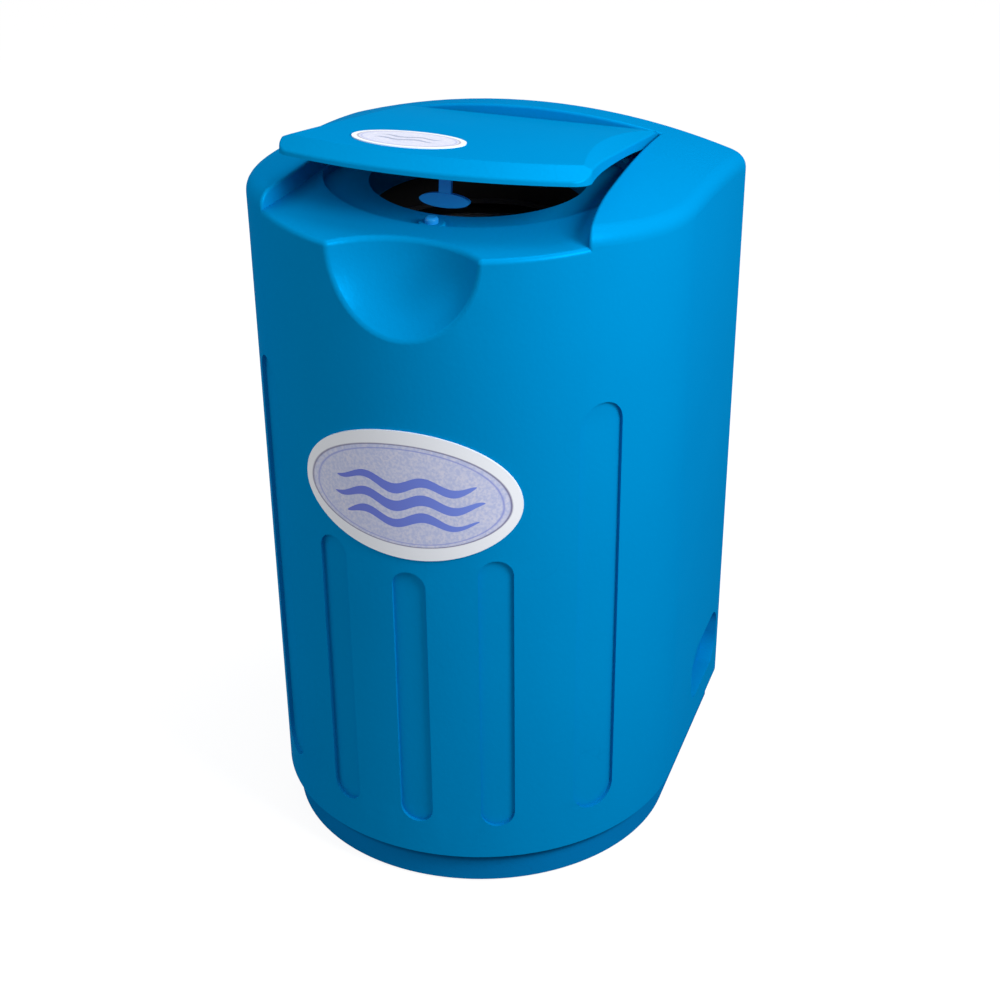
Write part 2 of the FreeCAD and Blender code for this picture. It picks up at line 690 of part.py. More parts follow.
def make_pulley(radius, bore, y):
    drum = rod(radius, pulley_bottom, pulley_bottom + pulley_height, 0, y)
    rims = [rod(radius + pulley_flange, z, z + flange_thickness, 0, y)
            for z in (pulley_bottom, pulley_bottom + pulley_height - flange_thickness)]
    return fuse([drum] + rims).cut(rod(bore, 0, 500, 0, y))


def loop_face(r1, r2, z):
    """Region inside a belt line round the two pulleys, r1 on the basket's axis, r2 on the motor's."""
    lean = math.asin((r1 - r2) / motor_distance)
    c, s = math.cos(lean), math.sin(lean)
    tangents = [(r1 * c, r1 * s), (r2 * c, motor_distance + r2 * s)]
    right = [V(x, axis_y + y, z) for x, y in tangents]
    left = [V(-x, axis_y + y, z) for x, y in tangents]
    edges = [
        Part.Arc(left[0], V(0, axis_y - r1, z), right[0]).toShape(),
        Part.makeLine(right[0], right[1]),
        Part.Arc(right[1], V(0, motor_y + r2, z), left[1]).toShape(),
        Part.makeLine(left[1], left[0]),
    ]
    return Part.Face(Part.Wire(edges))


def make_belt():
    low = pulley_bottom + flange_thickness + belt_side_gap
    height = V(0, 0, pulley_height - 2 * (flange_thickness + belt_side_gap))
    inner = [r + belt_gap for r in (drum_pulley_radius, motor_pulley_radius)]
    outer = [r + belt_thickness for r in inner]
    return loop_face(*outer, low).extrude(height).cut(loop_face(*inner, low).extrude(height))


def make_stator():
    body = rod(motor_radius, motor_low, motor_high, 0, motor_distance)
    slots = []
    for n in range(12):
        slot = Part.makeBox(8, 6, motor_stack - 16, V(-4, motor_y - motor_radius - 3, motor_low + 8))
        slot.rotate(V(0, motor_y, 0), Z_AXIS, 30 * n)
        slots.append(slot)
    body = body.cut(Part.makeCompound(slots))
    return body.cut(rod(motor_shaft_radius + 8, motor_low - 1, motor_high + 1, 0, motor_distance))


def make_cap(low, high):
    cap = rod(motor_radius, low, high, 0, motor_distance)
    return cap.cut(rod(motor_shaft_radius + bearing_fit, low - 1, high + 1, 0, motor_distance))


save("drum_pulley", make_pulley(drum_pulley_radius, shaft_radius, 0))
save("motor_pulley", make_pulley(motor_pulley_radius, motor_shaft_radius, motor_distance))
save("drive_belt", make_belt())
save("motor_stator", make_stator())
save("motor_end_caps", Part.makeCompound([make_cap(plate_top, motor_low),
                                          make_cap(motor_high, motor_high + motor_cap)]))
rotor = fuse([rod(motor_shaft_radius, pulley_bottom - 4, motor_high + motor_cap + 3, 0, motor_distance),
              rod(motor_shaft_radius + 7, motor_low + 2, motor_high - 2, 0, motor_distance)])
save("motor_rotor", rotor)
save("run_capacitor", rod(capacitor_radius, plate_top, plate_top + 86, capacitor_x, capacitor_y))

# ---- drain ----------------------------------------------------------------------------------------------
hose_radius = drain_radius + 3
hose_top = tub_bottom - 2
back_in = back_depth - bay_depth


def make_hose():
    x, y = drain_x, axis_y + drain_y
    turn = spout_z + hose_bend
    end = arc_y + back_in - wall - 4
    h = hose_bend * (1 - math.sqrt(0.5))
    path = Part.Wire([
        Part.makeLine(V(x, y, hose_top), V(x, y, turn)),
        Part.Arc(V(x, y, turn), V(x, y + h, spout_z + h), V(x, y + hose_bend, spout_z)).toShape(),
        Part.makeLine(V(x, y + hose_bend, spout_z), V(x, end, spout_z)),
    ])
    skin = [Part.Wire(Part.makeCircle(r, V(x, y, hose_top), V(0, 0, -1))) for r in (
        hose_radius, drain_radius)]
    outer, inner = [path.makePipeShell([w], True, False) for w in skin]
    return outer.cut(inner)


def make_spout():
    y0 = back_in - wall - 14
    body = y_rod(drain_radius, y0, back_depth - 3, drain_x, spout_z)
    collar = y_rod(drain_radius + 7, back_in + cover_thickness, back_in + cover_thickness + 4,
                   drain_x, spout_z)
    return fuse([body, collar]).cut(y_rod(drain_radius - 3, y0 - 1, back_depth, drain_x, spout_z))


save("drain_hose", make_hose())
save("drain_spout", make_spout())

# ---- back cover and electrics -----------------------------------------------------------------------
cover_out = back_in + cover_thickness


def make_cover():
    x, low, high = bay_half - cover_gap, bay_low + cover_gap, bay_high - cover_gap
    plate = block(-x, x, back_in, cover_out, low, high)
    plate = fillet_where(plate, 8.0, lambda e: abs(e.BoundBox.YLength - cover_thickness) < 0.01)
    plate = plate.cut(y_rod(drain_radius, back_in - 1, cover_out + 1, drain_x, spout_z))
    plate = plate.cut(y_rod(inlet_radius, back_in - 1, cover_out + 1, inlet_x, inlet_z))
    for px, pz in cover_screw_places():
        plate = plate.cut(y_rod(cover_screw, back_in - 1, cover_out + 1, px, pz))
    for n in range(6):
        vent = block(-30, 40, back_in - 1, cover_out + 1, low + 22 + 10 * n, low + 26 + 10 * n)
        plate = plate.cut(vent)
    return plate


def make_inlet():
    body = y_rod(inlet_radius, back_in - 12, cover_out + 8, inlet_x, inlet_z)
    collar = y_rod(inlet_radius + 4, cover_out, cover_out + 5, inlet_x, inlet_z)
    return fuse([body, collar]).cut(y_rod(4.5, cover_out - 2, cover_out + 9, inlet_x, inlet_z))


save("service_cover", make_cover())
save("cover_screws", screws([at(x, cover_out, z) for x, z in cover_screw_places()], cover_screw,
                            cover_thickness + wall, 2.0, V(0, -1, 0)))
save("power_inlet", make_inlet())
save("terminal_box", block(58, 102, back_in - 34, back_in, 130, 196))
save("rating_plate", block(-40, 24, cover_out, cover_out + 0.8, 196, 236))

# ---- brake --------------------------------------------------------------------------------------------
bar_near = brake_radius + brake_gap + brake_pad_thickness     # from the axis to the bar's near face
bar_y = -(bar_near + brake_bar / 2)
bar_low = brake_bottom + (brake_height - brake_bar_height) / 2
bar_top = bar_low + brake_bar_height


def make_lever():
    bar = Part.makeBox(brake_arm + brake_reach, brake_bar, brake_bar_height,
                       V(-brake_arm, axis_y + bar_y - brake_bar / 2, bar_low))
    eye = rod(brake_pin_radius + 5, bar_low, bar_top, -brake_arm, bar_y)
    return fuse([bar, eye]).cut(rod(brake_pin_radius + brake_bore_play, 0, 500, -brake_arm, bar_y))


def make_pad():
    pad = Part.makeBox(brake_pad_width, brake_pad_thickness + brake_radius / 2, brake_bar_height,
                       V(-brake_pad_width / 2, axis_y - bar_near, bar_low))
    return pad.cut(rod(brake_radius + brake_gap, 0, 500))


def make_magnet():
    travel = (brake_arm + brake_reach) * math.sin(math.radians(brake_swing))
    front = bar_y - brake_bar / 2 - travel - magnet_gap
    end = brake_reach
    return Part.makeBox(26, 22, plate_bottom - bar_low + 2, V(end - 22, axis_y + front - 22, bar_low - 2))


save("brake_drum", tube(brake_radius, shaft_radius, brake_bottom, brake_bottom + brake_height))
save("brake_lever", make_lever())
save("brake_pad", make_pad())
pivot = rod(brake_pin_radius, bar_low - 2, plate_bottom, -brake_arm, bar_y)
pivot_head = rod(brake_pin_radius + 4, bar_low - 5, bar_low - 2, -brake_arm, bar_y)
save("brake_pivot", fuse([pivot, pivot_head]))
save("brake_spring", tube(brake_pin_radius + 3, brake_pin_radius, bar_top + 1, bar_top + 12,
                          -brake_arm, bar_y))
save("brake_magnet", make_magnet())

# ---- lid interlock --------------------------------------------------------------------------------------
switch_top = well_floor - wall
plunger_top = lid_surface(plunger_y, lid_thickness) - plunger_gap
plunger_low = switch_top - switch_recess + plunger_travel + 0.5


def round_bar(radius, low, high, rounding):
    """Upright bar at the plunger's place with its top edge rounded."""
    bar = Part.makeCylinder(radius, high - low, at(plunger_x, plunger_y, low))
    return fillet_where(bar, rounding, lambda e: abs(e.BoundBox.ZMin - high) < 0.01 and e.Closed)


guide = round_bar(guide_radius, well_floor, well_floor + guide_height, guide_round)
bore = Part.makeCylinder(plunger_radius + plunger_play, 60, at(plunger_x, plunger_y, well_floor - 30))
save("plunger_guide", guide.cut(bore))
switch = block(plunger_x - switch_half, plunger_x + switch_half, plunger_y - switch_depth / 2,
               plunger_y + switch_depth / 2, switch_top - switch_height, switch_top)
recess = Part.makeCylinder(plunger_radius + plunger_play, switch_recess + 1,
                           at(plunger_x, plunger_y, switch_top - switch_recess))
save("interlock_switch", switch.cut(recess))
save("interlock_plunger", round_bar(plunger_radius, plunger_low, plunger_top, plunger_round))


# ---- lid --------------------------------------------------------------------------------------------
def lid_slab(near, far, inset, y1):
    """The lid's plan between two depths below its top, its edges moved in by inset."""
    y0 = lid_front_y - 30
    slab = along_lid(y0, y1, far, sheet_top).cut(along_lid(y0 - 1, y1 + 1, near, sheet_top + 1))
    plan = pocket_prism(-lid_side_gap - inset, 0, sheet_top + 2, y0, y1 + lid_side_gap + inset)
    bow = Part.makeCylinder(lid_front_radius - inset, sheet_top, at(0, lid_front_y + lid_front_radius, 0))
    corner = lid_corner - inset
    plan = fillet_where(plan.common(bow), corner, lambda e: e.BoundBox.ZLength > 500
                        and middle(e).y < arc_y + lid_front_y + 60)
    return slab.common(plan)


def bevelled(slab, drop):
    """Slice the lid's front to a cone and its two long edges to flat facets, all lowered by drop."""
    foot = lid_surface(lid_front_y) - bevel_down - drop
    slope = bevel_in / bevel_down
    low, high = -80.0, 60.0
    cone = Part.makeCone(lid_front_radius - slope * low, lid_front_radius - slope * high, high - low,
                         at(0, lid_front_y + lid_front_radius, foot + low))
    slab = slab.common(cone)
    front, back = [at(pocket_half(y, -lid_side_gap), y, lid_surface(y) - down - drop) for y, down in (
        (facet_front_y, facet_front_drop), (facet_back_y, facet_back_drop))]
    along, lean = (back - front) * 0.5, V(-facet_run, 0, 1) * 12
    corners = [front - along - lean, back + along - lean, back + along + lean * 3, front - along + lean * 3]
    facet = Part.Face(Part.makePolygon(corners + corners[:1])).extrude(V(0, 0, 90))
    return slab.cut(Part.makeCompound(both_sides(facet)))


def hinge_notch(x):
    """Room in the lid's rolled edge for a bracket, clear of its stem over the whole swing."""
    half = hinge_knuckle / 2 + hinge_gap
    ring = x_rod(knuckle_radius + hinge_gap, x - half, x + half, hinge_y, hinge_z)
    turns = [48, 100, 140, 180, 228]
    reach = 3 * hinge_roll
    corners = [at(x - half, hinge_y, hinge_z)]
    for turn in turns:
        a = math.radians(turn)
        corners.append(at(x - half, hinge_y + reach * math.sin(a), hinge_z + reach * math.cos(a)))
    wedge = Part.Face(Part.makePolygon(corners + corners[:1])).extrude(V(2 * half, 0, 0))
    return ring.fuse(wedge)


def is_lid_crest(edge):
    """Whether an edge of the lid's slab lies round its bevels, above its lower outline."""
    y = middle(edge).y - arc_y
    return lid_surface(y) - middle(edge).z < lid_thickness - 1 and abs(y - roll_tangent) > 1


roll_half = pocket_half(hinge_y + hinge_roll) - lid_side_gap
boss_x, boss_front, boss_back = 118.0, -112.0, 110.0


def lid_boss_places():
    return [(s * boss_x, y) for s in (1, -1) for y in (boss_front, boss_back)]


def make_lid_shell():
    outer = bevelled(lid_slab(0, lid_thickness, 0, roll_tangent), 0)
    outer = fillet_where(outer, lid_crest_fillet, is_lid_crest)
    inner = bevelled(lid_slab(lid_wall, lid_thickness + 1, lid_wall, hinge_y - hinge_roll), lid_wall)
    roll = x_rod(hinge_roll, -roll_half, roll_half, hinge_y, hinge_z)
    shell = outer.cut(inner).fuse(roll)
    depth = lid_thickness - liner_thickness
    for x, y in lid_boss_places():
        boss = Part.makeCylinder(6, 60, at(x, y, lid_surface(y) - 40))
        boss = boss.cut(along_lid(y - 20, y + 20, lid_wall / 2, sheet_top))
        low = along_lid(y - 20, y + 20, depth, sheet_top)
        shell = shell.fuse(boss.common(low))
        shell = shell.cut(Part.makeCylinder(liner_screw, 8, at(x, y, lid_surface(y, depth) - 1)))
    for s in (1, -1):
        shell = shell.cut(hinge_notch(s * hinge_x))
        x0 = hinge_x - hinge_knuckle / 2 - hinge_gap - pin_grip
        bore = x_rod(hinge_pin, min(s * x0, s * 200), max(s * x0, s * 200), hinge_y, hinge_z)
        shell = shell.cut(bore)
    return shell.removeSplitter()


def make_liner():
    liner = lid_slab(lid_thickness - liner_thickness, lid_thickness, lid_wall, hinge_y - hinge_roll)
    for x, y in lid_boss_places():
        liner = liner.cut(Part.makeCylinder(liner_screw, 60, at(x, y, lid_surface(y) - 40)))
    return liner


def make_tongue():
    """An oval pad on a slim stem, which drops just inside the mouth when the lid shuts."""
    centre = lid_surface(tongue_y, lid_thickness) - tongue_drop + tongue_height / 2
    pad = Part.Face(Part.Wire(Part.Ellipse(V(0, 0, 0), tongue_width / 2, tongue_height / 2).toShape()))
    pad.rotate(V(0, 0, 0), X_AXIS, 90)
    pad.translate(at(0, tongue_y + tongue_thickness / 2, centre))
    pad = pad.extrude(V(0, -tongue_thickness, 0)).makeFillet(tongue_round, pad.Edges)
    stem = block(-tongue_stem / 2, tongue_stem / 2, tongue_y - tongue_thickness / 2 + 1,
                 tongue_y + tongue_thickness / 2 - 1, centre, lid_top + 10)
    tongue = fuse([pad, stem])
    return tongue.cut(along_lid(tongue_y - 20, tongue_y + 20, lid_thickness, sheet_top))


def make_buffers():
    low = lid_surface(lid_top_y, deck_drop) + buffer_clear
    cut = along_lid(buffer_y - 20, buffer_y + 20, lid_thickness, sheet_top)
    pieces = [Part.makeCylinder(buffer_radius, 30, at(s * buffer_x, buffer_y, low)).cut(cut)
              for s in (1, -1)]
    return Part.makeCompound(pieces)


def make_liner_screws():
    pieces = []
    for x, y in lid_boss_places():
        seat = lid_surface(y, lid_thickness) - 0.5
        shank = Part.makeCylinder(liner_screw, 6.5, at(x, y, seat - 0.1))
        head = Part.makeCylinder(liner_screw * 2, 1.0, at(x, y, seat - 1.0))
        pieces.append(fuse([shank, head]))
    return Part.makeCompound(pieces)


def make_pins():
    half = hinge_knuckle / 2 + hinge_gap + pin_grip
    return Part.makeCompound([x_rod(hinge_pin, s * hinge_x - half, s * hinge_x + half, hinge_y, hinge_z)
                              for s in (1, -1)])


def make_brackets():
    pieces = []
    low = hinge_z - hinge_roll - trough_gap
    for s in (1, -1):
        x0, x1 = s * hinge_x - hinge_knuckle / 2, s * hinge_x + hinge_knuckle / 2
        ring = x_rod(knuckle_radius, x0, x1, hinge_y, hinge_z)
        stem = block(x0, x1, hinge_y - knuckle_stem / 2, hinge_y + knuckle_stem / 2, low, hinge_z)
        foot = block(x0, x1, hinge_y - knuckle_foot / 2, hinge_y + knuckle_foot / 2, low,
                     low + knuckle_foot_thickness)
        piece = fuse([ring, stem, foot])
        piece = piece.cut(x_rod(hinge_pin + hinge_bore_play, x0 - 1, x1 + 1, hinge_y, hinge_z))
        for x, y in hinge_screw_places():
            piece = piece.cut(Part.makeCylinder(cover_screw, 20, at(x, y, low - 5)))
        pieces.append(piece)
    return Part.makeCompound(pieces)


def oval_prism(width, height, x, y, low, high):
    face = Part.Face(Part.Wire(Part.Ellipse(V(0, 0, 0), width / 2, height / 2).toShape()))
    face.translate(at(x, y, low))
    return face.extrude(V(0, 0, high - low))


def make_lid_badge():
    oval = oval_prism(lid_badge_width, lid_badge_depth, lid_badge_x, lid_badge_y, 600, sheet_top)
    y0, y1 = lid_badge_y - lid_badge_depth, lid_badge_y + lid_badge_depth
    layer = along_lid(y0, y1, 0, sheet_top).cut(along_lid(y0 - 1, y1 + 1, -lid_badge_thickness,
                                                          sheet_top + 1))
    return layer.common(oval)


def make_front_badge():
    """An egg of four quarter ellipses, bent round the front wall."""
    centre = V(badge_x, badge_z, 0)
    quarters = [(badge_right, badge_up), (badge_left, badge_up), (badge_left, badge_down),
                (badge_right, badge_down)]
    edges = [Part.ArcOfEllipse(Part.Ellipse(centre, wide, high), n * math.pi / 2,
                               (n + 1) * math.pi / 2).toShape() for n, (wide, high) in enumerate(quarters)]
    face = Part.Face(Part.Wire(edges))
    face.rotate(V(0, 0, 0), X_AXIS, 90)
    face.translate(at(0, -floor_radius - 60, 0))
    prism = face.extrude(V(0, floor_radius, 0))
    return prism.common(front_cone(-badge_gap - badge_thickness)).cut(front_cone(-badge_gap))


save("lid_shell", ajar(make_lid_shell()))
save("lid_liner", ajar(make_liner()))
save("liner_screws", ajar(make_liner_screws()))
save("latch_tongue", ajar(make_tongue()))
save("lid_buffers", ajar(make_buffers()))
save("hinge_pins", ajar(make_pins()))
save("lid_badge", ajar(make_lid_badge()))
save("hinge_brackets", make_brackets())
foot_top = hinge_z - hinge_roll - trough_gap + knuckle_foot_thickness
save("hinge_screws", screws([at(x, y, foot_top) for x, y in hinge_screw_places()], cover_screw,
                            knuckle_foot_thickness + wall, 1.6, V(0, 0, -1)))
save("front_badge", make_front_badge())
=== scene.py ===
import bpy
import bmesh
import math
from mathutils import Matrix, Vector


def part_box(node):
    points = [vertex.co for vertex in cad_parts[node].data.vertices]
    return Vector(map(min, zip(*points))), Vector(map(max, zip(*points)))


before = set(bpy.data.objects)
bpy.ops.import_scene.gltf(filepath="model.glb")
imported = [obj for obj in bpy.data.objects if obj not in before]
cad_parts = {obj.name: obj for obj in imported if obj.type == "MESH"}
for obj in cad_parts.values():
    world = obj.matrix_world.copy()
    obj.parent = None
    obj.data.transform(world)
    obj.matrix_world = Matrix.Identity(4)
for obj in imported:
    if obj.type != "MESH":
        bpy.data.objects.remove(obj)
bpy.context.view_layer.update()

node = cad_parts


# ---- Plinth and feet ---------------------------------------------------------------------------------
# The plinth is moulded in the casing's own polyethylene, coloured right through, and screwed up into
# it from below. It stands on four plain rubber discs.
def linear(r, g, b):
    """A colour written as 0-255 screen values, as the shader wants it."""
    def channel(c):
        return c / 3294.6 if c <= 10 else ((c / 255 + 0.055) / 1.055) ** 2.4
    return channel(r), channel(g), channel(b), 1.0


def material(name, colour, roughness, specular=0.5, metallic=0.0):
    made = bpy.data.materials.new(name)
    made.use_nodes = True
    shader = made.node_tree.nodes["Principled BSDF"]
    shader.inputs["Base Color"].default_value = colour
    shader.inputs["Roughness"].default_value = roughness
    shader.inputs["Specular IOR Level"].default_value = specular
    shader.inputs["Metallic"].default_value = metallic
    return made, made.node_tree, shader


def add(tree, kind, links=(), **values):
    """One node, with its sockets set from values and fed from links of (socket, output)."""
    made = tree.nodes.new(kind)
    for key, value in values.items():
        if hasattr(made, key):
            setattr(made, key, value)
        else:
            made.inputs[key.replace("_", " ")].default_value = value
    for socket, output in links:
        tree.links.new(output, made.inputs[socket])
    return made


def calc(tree, operation, *values, clamp=False):
    """The output of one Math node; each value is a number or another node's output."""
    made = tree.nodes.new("ShaderNodeMath")
    made.operation = operation
    made.use_clamp = clamp
    for socket, value in zip(made.inputs, values):
        if isinstance(value, (int, float)):
            socket.default_value = value
        else:
            tree.links.new(value, socket)
    return made.outputs[0]


def tint(tree, factor, first, second):
    """The output of one colour Mix node; each colour is a value or another node's output."""
    made = add(tree, "ShaderNodeMix", [("Factor", factor)], data_type="RGBA")
    for socket, colour in ((made.inputs[6], first), (made.inputs[7], second)):
        if isinstance(colour, tuple):
            socket.default_value = colour
        else:
            tree.links.new(colour, socket)
    return made.outputs[2]


def group(name, inputs, outputs):
    tree = bpy.data.node_groups.new(name, "ShaderNodeTree")
    for label, kind in inputs:
        tree.interface.new_socket(label, in_out="INPUT", socket_type=kind)
    for label, kind in outputs:
        tree.interface.new_socket(label, in_out="OUTPUT", socket_type=kind)
    return tree, tree.nodes.new("NodeGroupInput").outputs, tree.nodes.new("NodeGroupOutput").inputs


# The skin of a moulding: a fine peel to bump with, a slow drift in tone, and hair-thin curved scuffs
# that only show in patches and dull the gloss a little.
skin, given, result = group("moulded_skin", [
    ("Place", "NodeSocketVector"), ("Peel per metre", "NodeSocketFloat"), ("Drift", "NodeSocketFloat"),
    ("Scuffs", "NodeSocketFloat"), ("Tone", "NodeSocketColor"), ("Worn tone", "NodeSocketColor"),
    ("Gloss", "NodeSocketFloat")],
    [("Colour", "NodeSocketColor"), ("Roughness", "NodeSocketFloat"), ("Height", "NodeSocketFloat")])
hair_sharpness, patch_level, patch_sharpness = 260.0, 0.52, 8.0
gloss_drift, gloss_scuff = 0.10, 0.3
peel = add(skin, "ShaderNodeTexNoise", [("Vector", given["Place"]), ("Scale", given["Peel per metre"])],
           Detail=3.0, Roughness=0.6)
drift = add(skin, "ShaderNodeTexNoise", [("Vector", given["Place"])], Scale=6.0, Detail=3.0)
lines = add(skin, "ShaderNodeTexNoise", [("Vector", given["Place"])], Scale=16.0, Detail=1.0,
            Distortion=0.7)
patch = add(skin, "ShaderNodeTexNoise", [("Vector", given["Place"])], Scale=11.0, Detail=2.0)
off_line = calc(skin, "ABSOLUTE", calc(skin, "SUBTRACT", lines.outputs["Fac"], 0.5))
hair = calc(skin, "SUBTRACT", 1.0, calc(skin, "MULTIPLY", off_line, hair_sharpness), clamp=True)
worn = calc(skin, "MULTIPLY", calc(skin, "SUBTRACT", patch.outputs["Fac"], patch_level), patch_sharpness,
            clamp=True)
scuff = calc(skin, "MULTIPLY", calc(skin, "MULTIPLY", hair, worn), given["Scuffs"])
slow = calc(skin, "MULTIPLY", drift.outputs["Fac"], given["Drift"])
skin.links.new(tint(skin, calc(skin, "ADD", slow, scuff, clamp=True), given["Tone"], given["Worn tone"]),
               result["Colour"])
dull = calc(skin, "MULTIPLY_ADD", drift.outputs["Fac"], gloss_drift, given["Gloss"])
skin.links.new(calc(skin, "MULTIPLY_ADD", scuff, gloss_scuff, dull), result["Roughness"])
skin.links.new(peel.outputs["Fac"], result["Height"])


def coat(tree, shader, effect, values, strength, depth):
    """Lays an effect over a piece: its colour, its roughness, and its height as a bump of this depth."""
    place = tree.nodes.new("ShaderNodeTexCoord")
    surface = add(tree, "ShaderNodeGroup", [("Place", place.outputs["Object"])], node_tree=effect)
    for label, value in values:
        surface.inputs[label].default_value = value
    bump = add(tree, "ShaderNodeBump", [("Height", surface.outputs["Height"])], Strength=strength,
               Distance=depth)
    tree.links.new(surface.outputs["Colour"], shader.inputs["Base Color"])
    tree.links.new(surface.outputs["Roughness"], shader.inputs["Roughness"])
    tree.links.new(bump.outputs["Normal"], shader.inputs["Normal"])


def moulded(name, colour, worn_colour, gloss=0.36, peel=420.0, depth=0.00010, drift=0.6, scuffs=0.5,
            specular=0.4, shine=(1, 1, 1, 1), metallic=0.0):
    """A moulded plastic, rubber or enamel; peel is how fine its surface is, depth how deep, in metres."""
    made, tree, shader = material(name, colour, gloss, specular, metallic)
    shader.inputs["Specular Tint"].default_value = shine
    coat(tree, shader, skin, [("Peel per metre", peel), ("Drift", drift), ("Scuffs", scuffs),
                              ("Tone", colour), ("Worn tone", worn_colour), ("Gloss", gloss)], 0.5, depth)
    return made


def finish(made, *names):
    """Gives CAD nodes their material."""
    for name in names:
        slots = node[name].data.materials
        slots.clear()
        slots.append(made)


def blue_polyethylene(name, colour, worn_colour, gloss, scuffs=0.6):
    """Polyethylene with a pearl pigment in it, which gives its gloss the plastic's own colour."""
    return moulded(name, colour, worn_colour, gloss=gloss, scuffs=scuffs, peel=230.0, depth=0.00045,
                   drift=0.8, specular=0.0, metallic=0.12, shine=(0.08, 0.56, 1.0, 1.0))


# Painted shade: the plinth's blue is set darker than the casing's, for the shade of its low, inset band
# under the casing.
plinth_shaded_blue = blue_polyethylene("plinth_shaded_blue", linear(0, 122, 188), linear(6, 112, 174), 0.42)
# Painted shade: the plinth is darkened in the groove under the casing's overhang, fading out down the
# plinth.
groove_top, groove_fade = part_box("casing_shell")[0][2] - 0.005, 0.009
tree = plinth_shaded_blue.node_tree
place = add(tree, "ShaderNodeTexCoord")
height = add(tree, "ShaderNodeSeparateXYZ", [(0, place.outputs["Object"])]).outputs["Z"]
above_fade = calc(tree, "SUBTRACT", height, groove_top - groove_fade)
groove_shade = calc(tree, "DIVIDE", above_fade, groove_fade, clamp=True)
base_colour = tree.nodes["Principled BSDF"].inputs["Base Color"]
clean = base_colour.links[0].from_socket
# Painted shade: mixes the plinth's colour towards a dark blue near its top, where the groove's shadow
# falls.
tree.links.new(tint(tree, groove_shade, clean, linear(0, 40, 78)), base_colour)
finish(plinth_shaded_blue, "base_plinth")
foot_rubber = moulded("foot_rubber", linear(26, 26, 27), linear(52, 51, 49), gloss=0.62, peel=900.0)
finish(foot_rubber, "rubber_feet")

# ---- Screws, bolts and pins --------------------------------------------------------------------------
# Small steel pieces, turned or cold-headed and then zinc plated, which leaves fine turning lines and a
# soft, slightly yellowed shine.
brushed, given, result = group("turned_metal", [
    ("Place", "NodeSocketVector"), ("Lines", "NodeSocketVector"), ("Tone", "NodeSocketColor"),
    ("Shade", "NodeSocketColor"), ("Polish", "NodeSocketFloat")],
    [("Colour", "NodeSocketColor"), ("Roughness", "NodeSocketFloat"), ("Height", "NodeSocketFloat")])
stretched = add(brushed, "ShaderNodeVectorMath", [(0, given["Place"]), (1, given["Lines"])],
                operation="MULTIPLY")
streaks = add(brushed, "ShaderNodeTexNoise", [("Vector", stretched.outputs[0])], Scale=1.0, Detail=4.0,
              Roughness=0.7)
cloud = add(brushed, "ShaderNodeTexNoise", [("Vector", given["Place"])], Scale=28.0, Detail=3.0)
brushed.links.new(tint(brushed, calc(brushed, "MULTIPLY", streaks.outputs["Fac"], cloud.outputs["Fac"]),
                       given["Tone"], given["Shade"]), result["Colour"])
brushed.links.new(calc(brushed, "MULTIPLY_ADD", streaks.outputs["Fac"], 0.16, given["Polish"]),
                  result["Roughness"])
brushed.links.new(streaks.outputs["Fac"], result["Height"])


def turned(name, colour, shade, polish=0.25, lines=(30.0, 30.0, 2600.0), depth=0.00003):
    """A metal whose tool lines run square to the axis that lines is largest on."""
    made, tree, shader = material(name, colour, polish, metallic=1.0)
    coat(tree, shader, brushed, [("Lines", lines), ("Tone", colour), ("Shade", shade),
                                 ("Polish", polish)], 0.4, depth)
    return made


zinc = turned("zinc_plate", linear(196, 198, 196), linear(164, 163, 150))
finish(zinc, "base_screws", "mount_bolts", "tub_screws", "cover_screws", "liner_screws", "hinge_screws")
ground_steel = turned("ground_steel", linear(188, 190, 194), linear(150, 152, 157), polish=0.18)
finish(ground_steel, "drive_shaft", "motor_rotor", "lower_bearing", "upper_bearing", "brake_pivot",
       "basket_nut")
hinge_steel = turned("hinge_steel", linear(176, 178, 181), linear(140, 141, 144), polish=0.3,
                     lines=(2600.0, 30.0, 30.0))
finish(hinge_steel, "hinge_pins", "hinge_brackets")

# ---- Suspension --------------------------------------------------------------------------------------
# The tub, the bearing housing and the motor stand on one pressed plate in grey stove enamel, which
# three rubber bushes carry on posts of the plinth.
grey_enamel = moulded("grey_enamel", linear(98, 100, 104), linear(84, 86, 90), gloss=0.34, peel=700.0,
                      specular=0.5)
finish(grey_enamel, "suspension_plate")
bush_rubber = moulded("bush_rubber", linear(22, 22, 23), linear(44, 43, 42), gloss=0.66, peel=1100.0)
finish(bush_rubber, "rubber_mounts")

# ---- Bearing housing ---------------------------------------------------------------------------------
# A sand casting in aluminium, ribbed and bored for two ball bearings, with the grain of the sand left
# on its outside.
cast, tree, shader = material("sand_cast", linear(172, 174, 176), 0.5, metallic=1.0)
coat(tree, shader, skin, [("Peel per metre", 1500.0), ("Drift", 0.8), ("Scuffs", 0.2), ("Gloss", 0.42),
                          ("Tone", linear(176, 178, 180)), ("Worn tone", linear(148, 150, 152))],
     0.8, 0.0004)
finish(cast, "bearing_housing", "motor_end_caps", "basket_hub")

# ---- Tub ---------------------------------------------------------------------------------------------
# Black polypropylene, a little waxy, screwed down on the bearing housing. A ring cover closes its rim,
# and a soft black gasket joins that to the mouth of the casing.
tub_black = moulded("tub_polypropylene", linear(30, 31, 34), linear(44, 45, 48), gloss=0.5, peel=300.0)
finish(tub_black, "outer_tub", "tub_cover")
seal_rubber = moulded("seal_rubber", linear(20, 20, 21), linear(38, 37, 36), gloss=0.55, peel=800.0)
finish(seal_rubber, "tub_gasket", "shaft_seal")

# ---- Basket ------------------------------------------------------------------------------------------
# Stainless sheet, rolled, seamed and perforated, brushed round and round; a grey ring filled with
# brine sits under its turned-in rim.
stainless = turned("brushed_stainless", linear(198, 200, 203), linear(160, 163, 168), polish=0.26,
                   lines=(6.0, 6.0, 1500.0), depth=0.00005)
finish(stainless, "spin_basket")
ring_grey = moulded("ring_grey", linear(92, 95, 100), linear(80, 83, 88), gloss=0.4, peel=500.0)
finish(ring_grey, "balance_ring")

